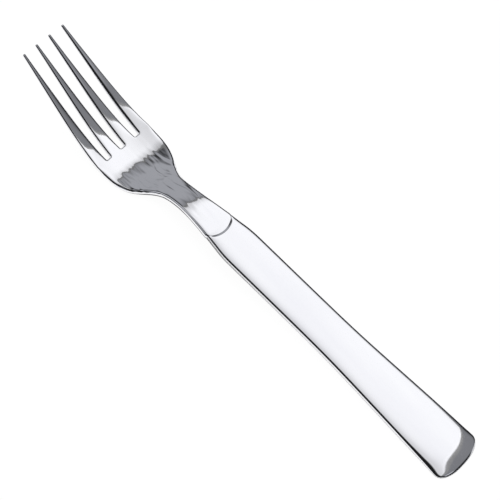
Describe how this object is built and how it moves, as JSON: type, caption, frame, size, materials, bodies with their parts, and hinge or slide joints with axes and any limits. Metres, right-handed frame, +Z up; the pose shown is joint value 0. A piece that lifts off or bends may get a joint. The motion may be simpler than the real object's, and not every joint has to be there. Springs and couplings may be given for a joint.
{
  "type": "steak fork",
  "caption": "Polished steel table fork with tapering curved tines, a dished root, a narrow neck and a flared hollow handle, for holding and lifting cut meat.",
  "frame": {"origin": "on the table plane, under the centre of the fork's box as it lies with its tines curving up", "axes": "+Y along the fork from the butt to the tine tips, +Z up from the table, +X across the tines"},
  "size_m": [0.026, 0.201, 0.0227],
  "materials": {
    "head_steel": "mirror-polished stainless steel",
    "handle_steel": "mirror-polished stainless steel",
    "braze": "polished flush silver braze",
    "cement": "rough cast filler"
  },
  "bodies": {
    "root": {"fork_head": "head_steel", "handle_front_shell": "handle_steel", "handle_back_shell": "handle_steel", "seam_braze": "braze", "tang_cement": "cement"}
  },
  "joints": []
}
